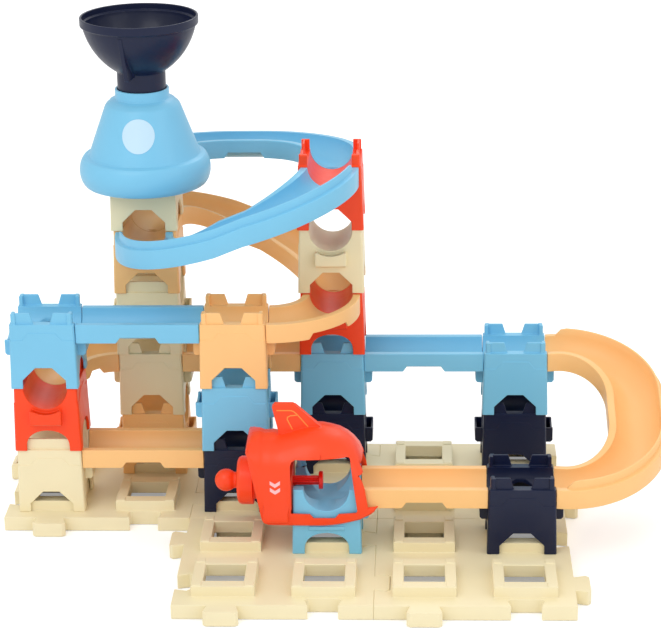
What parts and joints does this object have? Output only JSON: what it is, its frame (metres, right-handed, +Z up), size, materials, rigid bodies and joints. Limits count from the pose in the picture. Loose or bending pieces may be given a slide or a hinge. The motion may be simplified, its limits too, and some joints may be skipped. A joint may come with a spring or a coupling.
{
  "type": "marble run toy",
  "caption": "Marble run of stacking tower blocks, tracks and curved slides on interlocking base plates, with a funnel and a spring launcher.",
  "frame": {"origin": "centre of the whole set's footprint, on the ground under the base plates", "axes": "+Z up; -Y towards the front, where the launcher's plain side faces; +X to the right, the way the launcher shoots"},
  "size_m": [0.6546, 0.4656, 0.475],
  "materials": {
    "cream_plastic": "satin",
    "peach_plastic": "satin",
    "sky_plastic": "satin",
    "navy_plastic": "satin",
    "coral_plastic": "satin",
    "red_plastic": "satin",
    "pale_sheet": "satin",
    "steel": "plain"
  },
  "bodies": {
    "set": {"base_plate_left": "cream_plastic", "base_plate_middle": "cream_plastic", "base_plate_right": "cream_plastic", "base_plate_front_left": "cream_plastic", "base_plate_front_right": "cream_plastic", "west_tower_block_1": "cream_plastic", "west_tower_block_2": "coral_plastic", "west_tower_block_3": "sky_plastic", "tall_tower_block_1": "peach_plastic", "tall_tower_block_2": "cream_plastic", "tall_tower_block_3": "cream_plastic", "tall_tower_block_4": "peach_plastic", "tall_tower_block_5": "cream_plastic", "inner_tower_block_1": "navy_plastic", "inner_tower_block_2": "sky_plastic", "inner_tower_block_3": "peach_plastic", "high_tower_block_1": "navy_plastic", "high_tower_block_2": "sky_plastic", "high_tower_block_3": "coral_plastic", "high_tower_block_4": "cream_plastic", "high_tower_block_5": "coral_plastic", "launch_block": "sky_plastic", "corner_block": "navy_plastic", "east_tower_block_1": "navy_plastic", "east_tower_block_2": "sky_plastic", "straight_track_west_low": "peach_plastic", "straight_track_west_high": "sky_plastic", "straight_track_middle": "peach_plastic", "straight_track_east": "sky_plastic", "straight_track_launch": "peach_plastic", "quarter_track_front": "peach_plastic", "quarter_track_back": "peach_plastic", "slide_side": "peach_plastic", "slide_top_loop": "sky_plastic", "slide_front": "sky_plastic", "slide_back": "peach_plastic", "bell": "sky_plastic", "bell_badge": "pale_sheet", "funnel": "navy_plastic", "launcher_body_near": "coral_plastic", "launcher_body_far": "coral_plastic", "launcher_tail_cap": "coral_plastic", "launcher_guide": "coral_plastic", "launcher_screws": "steel", "plunger_spring": "steel"},
    "plunger": {"plunger_rod": "red_plastic", "plunger_knob": "coral_plastic"}
  },
  "joints": [
    {"name": "plunger_slide", "type": "slide", "parent": "set", "child": "plunger", "axis": [-1, 0, 0], "range_m": [0, 0.02], "stiffness_N_per_m": 120, "springref_m": -0.006, "deforming": ["plunger_spring"]}
  ]
}
